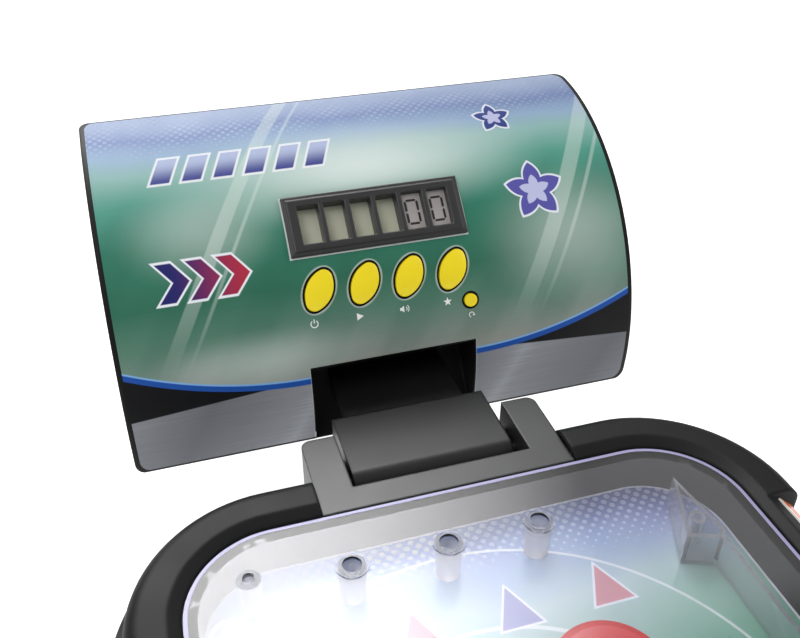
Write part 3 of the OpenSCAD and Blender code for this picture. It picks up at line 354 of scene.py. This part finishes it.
def label_marks(paint, x, s, base):
    """Plain printed marks: slanted bars high on the left, arrows below them, and two stars."""
    # Bars: white edge, then blue that pales towards the top
    lean = paint.math("MULTIPLY_ADD", paint.math("SUBTRACT", s, BARS_S), -0.4, x)
    step = paint.math("FRACT", paint.math("DIVIDE", paint.math("SUBTRACT", lean, BARS_X[0]), BARS_PITCH))
    run = paint.band(lean, BARS_X[0], BARS_X[1], 0.3)
    edge = paint.all_of(run, paint.band(step, 0.04, 0.8, 0.02),
                        paint.band(s, BARS_S - 9.5, BARS_S + 9.5, 0.3))
    fill = paint.all_of(run, paint.band(step, 0.12, 0.72, 0.02),
                        paint.band(s, BARS_S - 8.0, BARS_S + 8.0, 0.3))
    base = paint.mix(paint.math("MULTIPLY", edge, 0.9), base, rgb("f3f6fa"))
    blue = paint.mix(paint.rise(s, BARS_S - 8.0, BARS_S + 6.0), rgb("39408c"), rgb("b3bfe0"))
    base = paint.mix(fill, base, blue)
    # Arrows that point to the right
    off = paint.math("ABSOLUTE", paint.math("SUBTRACT", s, ARROWS_S))
    point = paint.math("MULTIPLY_ADD", off, 0.8, x)
    step = paint.math("FRACT", paint.math("DIVIDE", paint.math("SUBTRACT", point, ARROWS_X[0]), ARROWS_PITCH))
    run = paint.band(point, ARROWS_X[0], ARROWS_X[1], 0.3)
    edge = paint.all_of(run, paint.band(step, 0.05, 0.75, 0.02), paint.band(off, -1.0, 11.5, 0.3))
    fill = paint.all_of(run, paint.band(step, 0.13, 0.66, 0.02), paint.band(off, -1.0, 10.2, 0.3))
    base = paint.mix(edge, base, rgb("eef2f8"))
    warm = paint.mix(paint.rise(x, ARROWS_X[0], ARROWS_X[1]), rgb("27276a"), rgb("b83040"))
    base = paint.mix(fill, base, warm)
    # Stars
    for at, radius, colour in LABEL_STARS:
        base = paint.mix(paint.star(x, s, at, 5, radius, 0.5, 1.6), base, rgb("e9ecf6"))
        base = paint.mix(paint.star(x, s, at, 5, radius, 0.5, 0.0), base, rgb(colour))
        base = paint.mix(paint.star(x, s, at, 5, radius * 0.55, 0.5, 0.0), base, rgb("c3c6e8"))
    return base


def outline_mask(paint, x, s):
    """Thin unprinted edge of the label round its display, button and neck openings."""
    middle = LABEL_TOP * math.radians(BEZEL_ANGLE + LABEL_HALF_ANGLE)
    dx = paint.math("SUBTRACT", paint.math("ABSOLUTE", x), BEZEL_W / 2)
    ds = paint.math("SUBTRACT", paint.math("ABSOLUTE", paint.math("SUBTRACT", s, middle)), BEZEL_H / 2)
    mask = paint.band(paint.math("MAXIMUM", dx, ds), -2.0, 0.7, 0.15)
    for x_at in ROW_X:
        mask = paint.math("MAXIMUM", mask, oval_edge(paint, x, s, x_at))
    dn = paint.math("SUBTRACT", paint.math("ABSOLUTE", x), NOTCH_HALF)
    cut = paint.math("MAXIMUM", dn, paint.math("SUBTRACT", s, NOTCH_TOP))
    return paint.math("MAXIMUM", mask, paint.math("MULTIPLY", paint.band(cut, -2.0, 0.9, 0.15), 0.35))


def oval_edge(paint, x, s, x_at):
    """Pale line round one oval button hole."""
    turn = math.radians(OVAL_TURN)
    dx = paint.math("SUBTRACT", x, x_at)
    ds = paint.math("SUBTRACT", s, LABEL_TOP * math.radians(ROW_ANGLE + LABEL_HALF_ANGLE))
    cos, sin = math.cos(turn), math.sin(turn)
    along = paint.math("ADD", paint.math("MULTIPLY", dx, cos), paint.math("MULTIPLY", ds, sin))
    across = paint.math("SUBTRACT", paint.math("MULTIPLY", ds, cos), paint.math("MULTIPLY", dx, sin))
    along = paint.math("DIVIDE", along, OVAL_L / 2 + OVAL_EDGE)
    across = paint.math("DIVIDE", across, OVAL_W / 2 + OVAL_EDGE)
    return paint.math("MULTIPLY", paint.band(paint.reach(along, across), 0.5, 1.0, 0.03), 0.5)


def playfield_print():
    """Printed playfield: pale glow, green and dusk colours with halftone dots, rings, arrows and a star."""
    paint = Paint("playfield_print", Roughness=0.25)
    x, y, z = paint.local(TRAY)
    flat = paint.join(x, y)
    wave = paint.noise(flat, 0.011, 3.0)
    down = paint.math("MULTIPLY_ADD", wave, -60.0, paint.math("SUBTRACT", 30.0, y))
    base = paint.ramp(paint.math("DIVIDE", down, COVER_L), [
        (0.02, rgb("5b7fc0")), (0.07, rgb("8fb0d8")), (0.14, rgb("bcd6d6")), (0.24, rgb("8cbba9")),
        (0.42, rgb("4f9f86")), (0.65, rgb("2f7d5e")), (1.0, rgb("1d5a48"))])
    dusk = paint.math("MULTIPLY", paint.rise(x, 20.0, 110.0), paint.rise(y, -75.0, -8.0))
    base = paint.mix(paint.math("MULTIPLY", dusk, 0.85), base, rgb("4a4f9c"))
    spots = paint.dots(x, y, 6.0, paint.math("MULTIPLY", paint.rise(y, -56.0, -8.0), 0.4))
    base = paint.mix(paint.math("MULTIPLY", spots, 0.45), base, rgb("dfe6f6"))
    green = paint.math("MULTIPLY", paint.rise(x, 45.0, 110.0), paint.band(y, -140.0, -52.0, 22.0))
    base = paint.mix(paint.math("MULTIPLY", green, 0.6), base, rgb("3f9a6a"))
    for at, radius, wide in FIELD_RINGS:
        reach = paint.reach(paint.math("SUBTRACT", x, at[0]), paint.math("SUBTRACT", y, at[1]))
        base = paint.mix(paint.math("MULTIPLY", paint.band(reach, radius - wide, radius + wide, 0.4), 0.7),
                         base, rgb("f2f8f6"))
    # Lane arrows in front of the posts and a star in the middle
    for at, colour in zip(LANE_ARROWS, ("4f57ad", "c4485a", "4f57ad", "c4485a")):
        rise = paint.math("SUBTRACT", y, at[1])
        side = paint.math("ABSOLUTE", paint.math("SUBTRACT", x, at[0]))
        slope = paint.math("MULTIPLY_ADD", rise, 0.45, side)
        for grow, tint in ((1.2, "f1f4fa"), (0.0, colour)):
            mask = paint.math("MULTIPLY", paint.rise(slope, 5.6 + grow, 5.2 + grow),
                              paint.rise(rise, -9.0 - grow, -8.6 - grow))
            base = paint.mix(paint.math("MULTIPLY", mask, 0.8), base, rgb(tint))
    for radius, tint in ((33.0, "eef1fa"), (30.5, "5c63b4"), (17.0, "cfd4f0")):
        base = paint.mix(paint.star(x, y, FIELD_STAR, 5, radius, 0.5, 0.0), base, rgb(tint))
    fibre = paint.noise(flat, 0.7, 4.0, 0.7)
    base = paint.mix(paint.math("MULTIPLY", fibre, 0.14), base, rgb("ffffff"))
    # Unprinted edge of the board, round its rear half
    corner = COVER_R - BOARD_IN
    qx = paint.math("SUBTRACT", paint.math("ABSOLUTE", x), COVER_W / 2 - BOARD_IN - corner)
    qy = paint.math("ADD", y, BOARD_IN + corner)
    ox, oy = paint.math("MAXIMUM", qx, 0.0), paint.math("MAXIMUM", qy, 0.0)
    reach = paint.reach(ox, oy)
    rim = paint.math("MULTIPLY", paint.rise(reach, corner - 1.4, corner - 0.9), 0.8)
    base = paint.mix(rim, base, rgb("e9ecf4"))
    paint.colour(base)
    paint.grain(2200.0, 0.005, 0.2, 0.3)
    return paint.mat


def trim_print():
    """Printed side strip: warm gradient with slanted flashes and pale borders."""
    paint = Paint("trim_print", Roughness=0.3)
    x, y, z = paint.local(TRAY)
    along = paint.math("DIVIDE", paint.math("SUBTRACT", -51.0, y), COVER_L - 60.0)
    base = paint.ramp(along, [
        (0.0, rgb("e8531c")), (0.35, rgb("f08a24")), (0.7, rgb("c7261d")), (1.0, rgb("7d1418"))])
    slant = paint.math("PINGPONG", paint.math("MULTIPLY_ADD", z, 0.9, paint.math("MULTIPLY", y, 0.05)), 1.0)
    base = paint.mix(paint.math("MULTIPLY", paint.rise(slant, 0.78, 0.9), 0.6), base, rgb("ffd27a"))
    edge = paint.math("SUBTRACT", 1.0, paint.band(z, -5.3, -0.2, 0.15))
    base = paint.mix(edge, base, rgb("f4efe6"))
    paint.colour(base)
    paint.grain(2200.0, 0.006, 0.24, 0.34)
    return paint.mat


def clear(name, tint, rough, through=1.0, frost=0.0):
    """Clear moulded plastic with faint flow ripple, frosted below the cover's sheet where frost is given."""
    paint = Paint(name, Roughness=rough, IOR=1.46)
    paint.shader.inputs["Base Color"].default_value = rgb(tint)
    paint.shader.inputs["Transmission Weight"].default_value = through
    if frost > 0.0:
        x, y, z = paint.local(TRAY)
        below = paint.math("SUBTRACT", 1.0, paint.rise(z, FROST_Z[0], FROST_Z[1]))
        hazy = paint.math("MULTIPLY_ADD", below, frost - rough, rough)
        paint.feed(paint.shader.inputs["Roughness"], hazy)
        dim = paint.math("MULTIPLY_ADD", below, -frost, through)
        paint.feed(paint.shader.inputs["Transmission Weight"], dim)
    ripple = paint.noise(paint.coord, 25.0, 2.0)
    bump = paint.tree.nodes.new("ShaderNodeBump")
    bump.inputs["Strength"].default_value = 0.3
    bump.inputs["Distance"].default_value = 0.05 * MM
    paint.feed(bump.inputs["Height"], ripple)
    paint.feed(paint.shader.inputs["Normal"], bump.outputs[0])
    return paint.mat


def metal(name, colour, rough, streak):
    """Metal with fine streaks."""
    paint = Paint(name, Metallic=1.0)
    paint.mottled(rgb(colour), 0.08, 60.0)
    paint.grain(streak, 0.004, rough - 0.05, rough + 0.08)
    return paint.mat


def display_glass():
    """Grey-green display behind clear film, with painted shade that makes each window darker towards its top.
    """
    paint = Paint("display_glass", Roughness=0.22)
    x, v, w = paint.local(on_front(0.0, BEZEL_ANGLE))
    cell = paint.math("FRACT", paint.math("DIVIDE", paint.math("ADD", x, 3 * CELL_PITCH), CELL_PITCH))
    # Painted shade: each window darker towards its top and towards one side of its cell
    shade = paint.math("MULTIPLY", paint.rise(v, -14.0, 12.0), paint.rise(cell, -0.2, 0.9))
    base = paint.mix(shade, rgb("dcdec2"), rgb("a9ab98"))
    tiles = paint.mix(paint.rise(v, -12.0, 12.0), rgb("b0a9a6"), rgb("96908f"))
    base = paint.mix(paint.rise(x, 13.0, 15.0), base, tiles)
    speck = paint.math("MULTIPLY", paint.noise(paint.coord, 1500.0), 0.1)
    paint.colour(paint.mix(speck, base, rgb("ffffff")))
    paint.grain(1800.0, 0.004, 0.18, 0.28)
    return paint.mat


def board_green():
    """Circuit board: solder mask with routed tracks."""
    paint = Paint("board_green", Roughness=0.35)
    tracks = paint.cells(paint.coord, 260.0, "DISTANCE_TO_EDGE")
    paint.colour(paint.mix(paint.rise(tracks, 0.03, 0.07), rgb("3f8a4c"), rgb("1c5a2c")))
    paint.grain(700.0, 0.02, 0.3, 0.4)
    return paint.mat


def battery_skin():
    """Battery sleeve: gold end band over dark wrap."""
    paint = Paint("battery_skin", Roughness=0.3, Metallic=0.6)
    x, v, w = paint.local(HEAD)
    base = paint.mix(paint.rise(x, -74.0, -73.6), rgb("1f1f22"), rgb("b98a3a"))
    speck = paint.math("MULTIPLY", paint.noise(paint.coord, 300.0), 0.15)
    paint.colour(paint.mix(speck, base, rgb("ffffff")))
    paint.grain(900.0, 0.01, 0.24, 0.34)
    return paint.mat


MATERIALS = {
    "black_plastic": plastic("black_plastic", "0f0f10", 0.5, 1100.0, soften=2.4, Specular_IOR_Level=0.17),
    "dark_plastic": plastic("dark_plastic", "161618", 0.58, 800.0, 0.05, Specular_IOR_Level=0.25),
    "charcoal_plastic": plastic("charcoal_plastic", "282829", 0.38, 1300.0, 0.02, soften=1.4,
                                Specular_IOR_Level=0.5),
    "steel": metal("steel", "b9bbbf", 0.3, 900.0),
    "ball_chrome": metal("ball_chrome", "dfe0e2", 0.09, 500.0),
    "playfield_print": playfield_print(),
    "clear_plastic": clear("clear_plastic", "f7f6fc", 0.03),
    "guide_clear": clear("guide_clear", "f4f6fb", 0.06, through=0.87),
    "cover_clear": clear("cover_clear", "f7f6fc", 0.03, frost=0.35),
    "neck_plastic": plastic("neck_plastic", "121213", 0.38, 1300.0, 0.02, soften=1.6, Specular_IOR_Level=0.4),
    "yellow_plastic": plastic("yellow_plastic", "ffe312", 0.28, 500.0, 0.008, 0.05),
    "white_plastic": plastic("white_plastic", "ececea", 0.3, 500.0, 0.01, 0.05),
    "red_plastic": plastic("red_plastic", "d4181c", 0.22, 500.0, 0.008, 0.08),
    "trim_print": trim_print(),
    "rubber": plastic("rubber", "262627", 0.75, 600.0, 0.06),
    "label_print": label_print(),
    "display_glass": display_glass(),
    "board_green": board_green(),
    "switch_plastic": plastic("switch_plastic", "232324", 0.5),
    "battery_skin": battery_skin(),
}

slots = {part["node"]: part["material_slot"] for part in frame["record"]["subparts"]}
# Nodes whose surface differs from the rest of their slot
FINISH = {"clear_cover": "cover_clear", "lane_guide": "guide_clear", "corner_guide": "guide_clear",
          "neck": "neck_plastic"}
for node, obj in frame["nodes"].items():
    obj.data.materials.clear()
    obj.data.materials.append(MATERIALS[FINISH.get(node, slots[node])])

# Moulded edges: the sharp solids get a small round on every hard edge.
EDGE_ANGLE = 25.0
WELD_GAP = 1e-5
EDGE_ROUND = {"housing": 1.6, "bracket": 1.2, "neck": 1.2, "head_front": 0.8, "lcd_bezel": 0.5,
              "base_plate": 0.6, "head_back": 0.8, "rear_leg_left": 1.0, "rear_leg_right": 1.0,
              "front_feet": 0.8, "power_button": 0.6, "play_button": 0.6, "sound_button": 0.6,
              "score_button": 0.6, "reset_button": 0.5, "bumper_caps": 0.6, "flipper_blade_left": 0.8,
              "flipper_blade_right": 0.8, "flipper_button_left": 0.8, "flipper_button_right": 0.8,
              "plunger_knob": 1.0, "sling_guides": 0.8, "battery_door": 0.4}
for node, radius in EDGE_ROUND.items():
    obj = frame["nodes"][node]
    weld = obj.modifiers.new("weld", "WELD")
    weld.merge_threshold = WELD_GAP
    bevel = obj.modifiers.new("round", "BEVEL")
    bevel.width = radius * MM
    bevel.segments = 3
    bevel.limit_method = "ANGLE"
    bevel.angle_limit = math.radians(EDGE_ANGLE)
    even = obj.modifiers.new("even", "WEIGHTED_NORMAL")
    even.keep_sharp = False


def coil(node, name):
    """Copy of a spring's wire, carried by the table body, in place of the hidden original."""
    obj = bpy.data.objects.new(name, frame["nodes"][node].data.copy())
    bpy.context.collection.objects.link(obj)
    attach(obj, "table")
    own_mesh(obj)
    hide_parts(node)


coil("plunger_spring", "plunger_coil")
coil("button_spring_left", "button_coil_left")
coil("button_spring_right", "button_coil_right")


def piece(name, mesh_maker, matrix, material, body):
    """New mesh piece built in its own frame, in millimetres, placed by matrix and carried by a body."""
    bm = bmesh.new()
    mesh_maker(bm)
    bmesh.ops.transform(bm, matrix=matrix @ Matrix.Scale(MM, 4), verts=bm.verts)
    mesh = bpy.data.meshes.new(name)
    bm.to_mesh(mesh)
    bm.free()
    obj = bpy.data.objects.new(name, mesh)
    bpy.context.collection.objects.link(obj)
    mesh.materials.append(material)
    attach(obj, body)
    return obj


def slab(bm, outline, low, high):
    """Closed plate over a flat outline."""
    bottom = [bm.verts.new((x, y, low)) for x, y in outline]
    top = [bm.verts.new((x, y, high)) for x, y in outline]
    bm.faces.new(list(reversed(bottom)))
    bm.faces.new(top)
    for i in range(len(outline)):
        j = (i + 1) % len(outline)
        bm.faces.new((bottom[i], bottom[j], top[j], top[i]))


SEGMENT_LONG, SEGMENT_WIDE, SEGMENT_GAP = 6.6, 1.25, 0.35
INK_T = 0.12


def segment(centre, upright):
    """Six-sided display segment."""
    a = SEGMENT_LONG / 2 - SEGMENT_GAP
    b = SEGMENT_WIDE / 2
    points = [(-a, 0), (-a + b, -b), (a - b, -b), (a, 0), (a - b, b), (-a + b, b)]
    if upright:
        points = [(-y, x) for x, y in points]
    return [(centre[0] + x, centre[1] + y) for x, y in points]


def zero_digit(bm):
    """Six lit segments of one figure."""
    half = SEGMENT_LONG / 2
    for x in (-half, half):
        for y in (-half, half):
            slab(bm, segment((x, y), True), 0.0, INK_T)
    for y in (-SEGMENT_LONG, SEGMENT_LONG):
        slab(bm, segment((0.0, y), False), 0.0, INK_T)


ink = plastic("display_ink", "1f1d22", 0.4, 900.0, 0.01)
for cell in (4, 5):
    place = on_front((cell - 2.5) * CELL_PITCH, BEZEL_ANGLE, TILE_TOP)
    piece(f"digit_{cell - 3}", zero_digit, place, ink, "head")


def ring_outline(radius, start, stop, count):
    """Points along an arc, angles in degrees."""
    angles = [math.radians(start + (stop - start) * i / count) for i in range(count + 1)]
    return [(radius * math.cos(a), radius * math.sin(a)) for a in angles]


def arc_band(bm, radius, wide, start, stop, count=28):
    """Flat curved stroke of a sign."""
    outer = ring_outline(radius + wide / 2, start, stop, count)
    inner = ring_outline(radius - wide / 2, start, stop, count)
    slab(bm, outer + inner[::-1], 0.0, INK_T)


def power_sign(bm):
    arc_band(bm, 1.9, 0.55, 125.0, 415.0)
    slab(bm, [(-0.28, 0.3), (0.28, 0.3), (0.28, 2.6), (-0.28, 2.6)], 0.0, INK_T)


def play_sign(bm):
    slab(bm, [(-1.6, -2.0), (2.1, 0.0), (-1.6, 2.0)], 0.0, INK_T)


def sound_sign(bm):
    slab(bm, [(-2.4, -0.8), (-1.4, -0.8), (-0.1, -1.9), (-0.1, 1.9), (-1.4, 0.8), (-2.4, 0.8)], 0.0, INK_T)
    for radius in (1.5, 2.6):
        arc_band(bm, radius, 0.45, -42.0, 42.0, 12)


def score_sign(bm):
    points = []
    for i in range(10):
        radius = 2.5 if i % 2 == 0 else 1.05
        angle = math.radians(90 + 36 * i)
        points.append((radius * math.cos(angle), radius * math.sin(angle)))
    slab(bm, points, 0.0, INK_T)


def reset_sign(bm):
    arc_band(bm, 1.4, 0.45, -20.0, 250.0)
    slab(bm, [(0.4, -0.6), (2.2, -0.6), (1.3, 0.7)], 0.0, INK_T)


label_white = plastic("sign_white", "f2f4f2", 0.35, 900.0, 0.005, 0.04)
SIGN_S, SIGN_LEFT, RESET_SIGN_S, SIGN_SINK = 67.5, 5.0, 58.0, 0.02
for sign, x, s in ((power_sign, ROW_X[0] - SIGN_LEFT, SIGN_S), (play_sign, ROW_X[1] - SIGN_LEFT, SIGN_S),
                   (sound_sign, ROW_X[2] - SIGN_LEFT, SIGN_S), (score_sign, ROW_X[3] - SIGN_LEFT, SIGN_S),
                   (reset_sign, DOT_X, RESET_SIGN_S)):
    place = on_front(x, arc_angle(s), LABEL_TOP - FRONT_R - SIGN_SINK)
    piece(sign.__name__, sign, place, label_white, "head")


def border_path(half_w, half_h, corner, count=8, rows=32):
    """Path round the label from one side of the neck cut-out to the other, as x and height on the front."""
    right = [(NOTCH_HALF, -half_h)]
    for middle, start in ((corner - half_h, -90), (half_h - corner, 0)):
        if start == 0:
            right += [(half_w, corner - half_h + 2 * (half_h - corner) * i / rows) for i in range(1, rows)]
        for i in range(count + 1):
            angle = math.radians(start + 90 * i / count)
            right.append((half_w - corner + corner * math.cos(angle), middle + corner * math.sin(angle)))
    return right + [(-x, v) for x, v in reversed(right)]


def label_border(bm):
    """Outer margin of the printed label, a thin closed band on the curved front."""
    half_h = FRONT_R * math.sin(math.radians(LABEL_HALF_ANGLE))
    inner = border_path(LABEL_W / 2, half_h, LABEL_CORNER)
    outer = border_path(LABEL_W / 2 + BORDER_X, half_h + BORDER_V, LABEL_CORNER + BORDER_X)
    low = FRONT_R + BORDER_LIFT
    loops = [[bm.verts.new((x, v, math.sqrt(radius * radius - v * v))) for x, v in path]
             for path, radius in ((outer, low), (outer, LABEL_TOP), (inner, LABEL_TOP), (inner, low))]
    for k in range(4):
        a, b = loops[k], loops[(k + 1) % 4]
        for i in range(len(a) - 1):
            bm.faces.new((a[i], a[i + 1], b[i + 1], b[i]))
    bm.faces.new([loop[0] for loop in loops])
    bm.faces.new([loop[-1] for loop in reversed(loops)])


piece("label_border", label_border, HEAD, MATERIALS["label_print"], "head")


def cover_outline(inset, count=16):
    """Outline of the clear cover's plan, set in from its edge."""
    points = []
    for sx, sy, radius, start in ((1, 1, COVER_R, 0), (-1, 1, COVER_R, 90), (-1, -1, COVER_FRONT_R, 180),
                                  (1, -1, COVER_FRONT_R, 270)):
        middle = (sx * (COVER_W / 2 - radius), -radius if sy > 0 else radius - COVER_L)
        for i in range(count + 1):
            angle = math.radians(start + 90 * i / count)
            points.append((middle[0] + (radius - inset) * math.cos(angle),
                           middle[1] + (radius - inset) * math.sin(angle)))
    return points


def cover_edge_highlight(bm):
    """Painted highlight on the clear sheet's edge: a thin pale closed band along its rim."""
    loops = [[bm.verts.new((x, y, z)) for x, y in cover_outline(inset)]
             for inset, z in ((EDGE_IN, 0.0), (EDGE_IN, EDGE_T), (EDGE_W, EDGE_T), (EDGE_W, 0.0))]
    for k in range(4):
        a, b = loops[k], loops[(k + 1) % 4]
        for i in range(len(a)):
            j = (i + 1) % len(a)
            bm.faces.new((a[i], a[j], b[j], b[i]))


EDGE_IN, EDGE_W, EDGE_T = 0.2, 1.9, 0.12
# Pale violet opaque band, a painted highlight along the clear cover's edge
violet = plastic("cover_edge_highlight", "b5b0dc", 0.25, 900.0, 0.004, 0.1)
piece("cover_edge_highlight", cover_edge_highlight, TRAY, violet, "table")


def studio():
    """White floor, a soft sky and large soft lights."""
    bpy.ops.mesh.primitive_plane_add(size=FLOOR_SIZE, location=(0.0, 0.0, FLOOR_Z))
    floor = bpy.context.object
    floor.name = "floor"
    paint = Paint("floor_white", Roughness=0.9)
    paint.mottled(rgb("fbfbfb"), 0.01, 2.0)
    paint.shader.inputs["Emission Color"].default_value = (1.0, 1.0, 1.0, 1.0)
    paint.shader.inputs["Emission Strength"].default_value = FLOOR_GLOW
    floor.data.materials.append(paint.mat)
    world = bpy.data.worlds.new("studio")
    bpy.context.scene.world = world
    world.use_nodes = True
    world.node_tree.nodes["Background"].inputs["Color"].default_value = (1.0, 1.0, 1.0, 1.0)
    world.node_tree.nodes["Background"].inputs["Strength"].default_value = WORLD_LIGHT
    for name, at, turn, size, power in LAMPS:
        light = bpy.data.lights.new(name, "AREA")
        light.size = size
        light.energy = power
        obj = bpy.data.objects.new(name, light)
        obj.location = at
        obj.rotation_euler = Euler([math.radians(a) for a in turn])
        bpy.context.collection.objects.link(obj)
    softbox()


def softbox():
    """Large panel behind the head, seen only in reflections, that fades towards its right end."""
    bpy.ops.mesh.primitive_plane_add(size=1.0, location=SOFTBOX_AT,
                                     rotation=(math.radians(SOFTBOX_TURN), 0.0, 0.0))
    panel = bpy.context.object
    panel.name = "softbox"
    panel.scale = SOFTBOX_SIZE
    paint = Paint("softbox_glow", Roughness=1.0)
    across = paint.tree.nodes.new("ShaderNodeSeparateXYZ")
    paint.feed(across.inputs[0], paint.coord)
    fade = paint.math("SUBTRACT", 1.0, paint.rise(across.outputs[0], SOFTBOX_FADE[0], SOFTBOX_FADE[1]))
    fade = paint.math("MAXIMUM", fade, SOFTBOX_LEAST)
    height = paint.band(across.outputs[1], -SOFTBOX_EDGE, SOFTBOX_EDGE, SOFTBOX_SOFT)
    fade = paint.math("MULTIPLY", fade, height)
    paint.shader.inputs["Base Color"].default_value = (0.0, 0.0, 0.0, 1.0)
    paint.shader.inputs["Emission Color"].default_value = (1.0, 1.0, 1.0, 1.0)
    paint.feed(paint.shader.inputs["Emission Strength"], paint.math("MULTIPLY", fade, SOFTBOX_GLOW))
    panel.data.materials.append(paint.mat)
    panel.visible_camera = False
    panel.visible_diffuse = False
    panel.visible_shadow = False


studio()

camera = bpy.data.cameras.new("camera")
camera.lens = CAMERA_LENS
camera.sensor_width = 36.0
camera.clip_start = 0.01
camera_obj = bpy.data.objects.new("camera", camera)
camera_obj.location = CAMERA_AT
camera_obj.rotation_euler = Euler([math.radians(a) for a in CAMERA_TURN])
bpy.context.collection.objects.link(camera_obj)
scene = bpy.context.scene
scene.camera = camera_obj
scene.view_settings.view_transform = "Standard"
